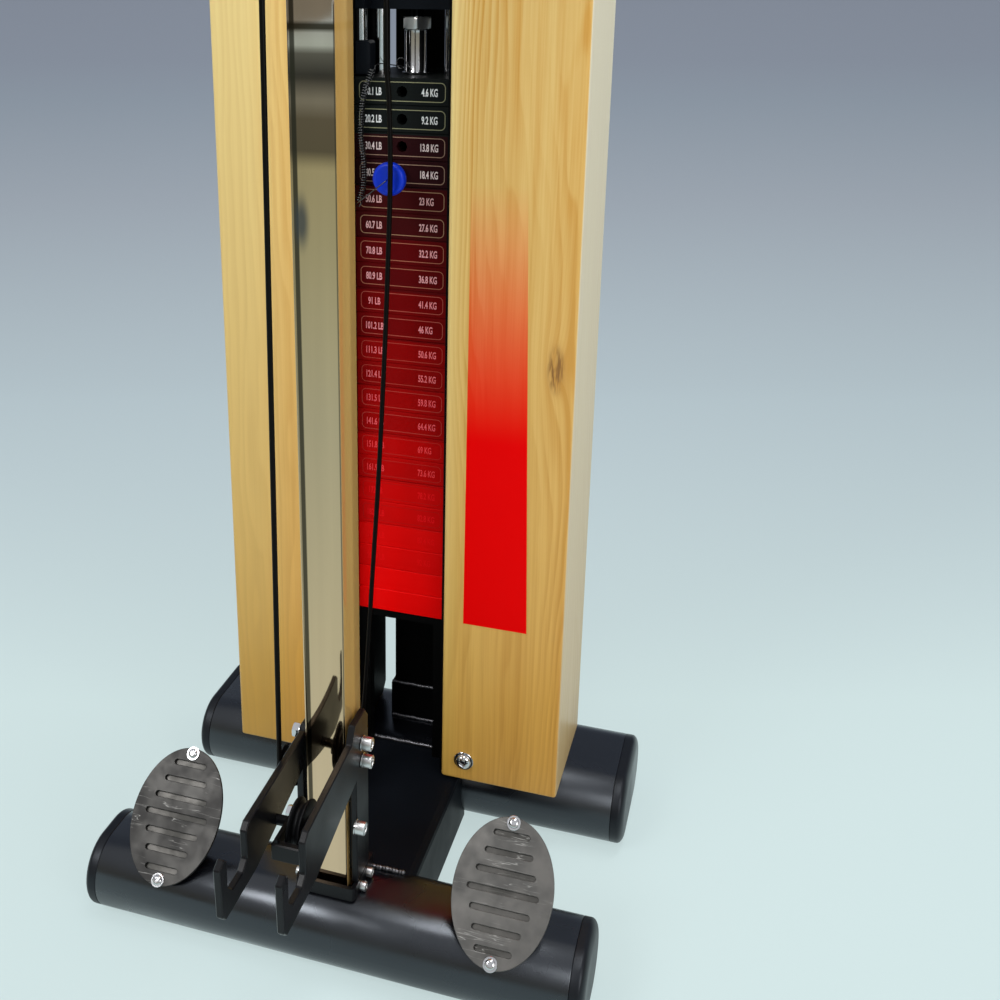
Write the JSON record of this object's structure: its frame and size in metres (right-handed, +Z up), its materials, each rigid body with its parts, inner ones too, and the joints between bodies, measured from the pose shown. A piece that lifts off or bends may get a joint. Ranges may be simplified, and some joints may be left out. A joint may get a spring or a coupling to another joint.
{
  "type": "cable station",
  "caption": "Gym cable station: weight stack between two wooden posts, polished column with a sliding pulley carriage, tilted foot plates and a low pulley fork.",
  "frame": {"origin": "on the floor, in the middle of the gap between the posts, in the plane of the posts' front faces", "axes": "+X to the right as seen from the user's side, +Y to the back, +Z up"},
  "size_m": [0.638, 0.673, 2.13],
  "materials": {
    "black_steel": "satin black powder coat",
    "panel_steel": "matt black powder coat",
    "plastic": "moulded black plastic",
    "polished": "mirror polished stainless steel",
    "chrome": "bright chrome",
    "foot_steel": "fine ground steel",
    "left_wood": "oiled light wood",
    "right_wood": "oiled light wood",
    "board_wood": "oiled light wood",
    "plate_black": "satin black paint",
    "plate_dark_red": "satin dark red paint",
    "plate_red": "satin red paint",
    "knob_blue": "blue anodised",
    "cable": "black nylon jacket over steel wire",
    "cord": "black plastic coated spring cord"
  },
  "bodies": {
    "frame": {"base_spine": "black_steel", "front_foot_tube": "black_steel", "rear_foot_tube": "black_steel", "front_cap_left": "plastic", "front_cap_right": "plastic", "rear_cap_left": "plastic", "rear_cap_right": "plastic", "foot_bracket_left": "black_steel", "foot_bracket_right": "black_steel", "foot_plate_left": "foot_steel", "foot_plate_right": "foot_steel", "column_socket": "black_steel", "front_column": "polished", "fork_plate_left": "black_steel", "fork_plate_right": "black_steel", "low_pulley_axle": "black_steel", "post_left": "left_wood", "post_right": "right_wood", "inner_panel_left": "panel_steel", "inner_panel_right": "panel_steel", "top_board": "board_wood", "stack_pedestal": "black_steel", "stack_base_plate": "black_steel", "guide_rod_left": "chrome", "guide_rod_right": "chrome", "resting_plates_upper": "plate_dark_red", "resting_plates_middle": "plate_red", "resting_plates_lower": "plate_red", "crown_bracket": "black_steel", "rear_guide_bracket": "black_steel", "return_cable": "cable", "crown_cable": "cable", "stack_cable_rear": "cable", "stack_cable_front": "cable", "carriage_cable": "cable", "column_cable": "cable"},
    "stack": {"weight_plate_1": "plate_black", "weight_plate_2": "plate_black", "weight_plate_3": "plate_dark_red", "weight_plate_4": "plate_dark_red", "selector_stem": "chrome", "stem_sleeve": "chrome", "lifting_yoke": "black_steel", "yoke_cable": "cable", "lanyard_cord": "cord"},
    "selector": {"selector_pin": "chrome", "selector_knob": "knob_blue"},
    "carriage": {"carriage": "plastic", "pulley_bracket": "black_steel", "handle_cable": "cable"},
    "crown_front_pulley": {"crown_front_pulley": "plastic"},
    "crown_rear_pulley": {"crown_rear_pulley": "plastic"},
    "crown_return_pulley": {"crown_return_pulley": "plastic"},
    "floating_pulley": {"floating_pulley": "plastic"},
    "carriage_pulley": {"carriage_pulley": "plastic"},
    "low_pulley": {"low_pulley": "plastic"},
    "rear_guide_pulley": {"rear_guide_pulley": "plastic"},
    "front_guide_pulley": {"front_guide_pulley": "plastic"},
    "lock_knob": {"lock_knob": "plastic"},
    "snap_hook": {"snap_hook": "chrome"}
  },
  "joints": [
    {"name": "stack_lift", "type": "slide", "parent": "frame", "child": "stack", "axis": [0, 0, 1], "range_m": [0, 0.68], "deforming": ["stack_cable_rear", "stack_cable_front"]},
    {"name": "selector_pull", "type": "slide", "parent": "stack", "child": "selector", "axis": [0, -1, 0], "range_m": [0, 0.095], "deforming": ["lanyard_cord", "return_cable"]},
    {"name": "carriage_slide", "type": "slide", "parent": "frame", "child": "carriage", "axis": [0, 0, 1], "range_m": [-1, 0.38], "deforming": ["carriage_cable", "column_cable"]},
    {"name": "carriage_pulley_spin", "type": "hinge", "parent": "carriage", "child": "carriage_pulley", "pos_m": [0, -0.304, 1.45], "axis": [1, 0, 0], "continuous": true},
    {"name": "lock_knob_turn", "type": "hinge", "parent": "carriage", "child": "lock_knob", "pos_m": [0.05, -0.221, 1.45], "axis": [1, 0, 0], "range_deg": [-90, 90]},
    {"name": "hook_swing", "type": "hinge", "parent": "carriage", "child": "snap_hook", "pos_m": [0, -0.358, 1.389], "axis": [1, 0, 0], "range_deg": [-35, 35]},
    {"name": "low_pulley_spin", "type": "hinge", "parent": "frame", "child": "low_pulley", "pos_m": [0, -0.322, 0.252], "axis": [1, 0, 0], "continuous": true},
    {"name": "floating_pulley_spin", "type": "hinge", "parent": "stack", "child": "floating_pulley", "pos_m": [0, 0.101, 1.195], "axis": [1, 0, 0], "range_deg": [-20, 990]},
    {"name": "crown_front_spin", "type": "hinge", "parent": "frame", "child": "crown_front_pulley", "pos_m": [0, -0.228, 2.045], "axis": [1, 0, 0], "range_deg": [-20, 1970]},
    {"name": "crown_rear_spin", "type": "hinge", "parent": "frame", "child": "crown_rear_pulley", "pos_m": [0, 0.101, 2.045], "axis": [1, 0, 0], "range_deg": [-20, 1970]},
    {"name": "crown_return_spin", "type": "hinge", "parent": "frame", "child": "crown_return_pulley", "pos_m": [0, 0.0225, 1.985], "axis": [1, 0, 0], "range_deg": [-1510, 590]},
    {"name": "rear_guide_spin", "type": "hinge", "parent": "frame", "child": "rear_guide_pulley", "pos_m": [-0.0416, -0.049, 0.15], "axis": [1, 0, 0], "range_deg": [-680, 1750]},
    {"name": "front_guide_spin", "type": "hinge", "parent": "frame", "child": "front_guide_pulley", "pos_m": [-0.0426, -0.261, 0.277], "axis": [1, 0, 0], "range_deg": [-1010, 2620]}
  ],
  "couplings": [
    {"joint": "floating_pulley_spin", "follows": "stack_lift", "rad_per_m": 25},
    {"joint": "crown_front_spin", "follows": "stack_lift", "rad_per_m": 50},
    {"joint": "crown_rear_spin", "follows": "stack_lift", "rad_per_m": 50},
    {"joint": "crown_return_spin", "follows": "carriage_slide", "rad_per_m": 25.974},
    {"joint": "rear_guide_spin", "follows": "carriage_slide", "rad_per_m": -30.303},
    {"joint": "front_guide_spin", "follows": "carriage_slide", "rad_per_m": -45.455}
  ]
}
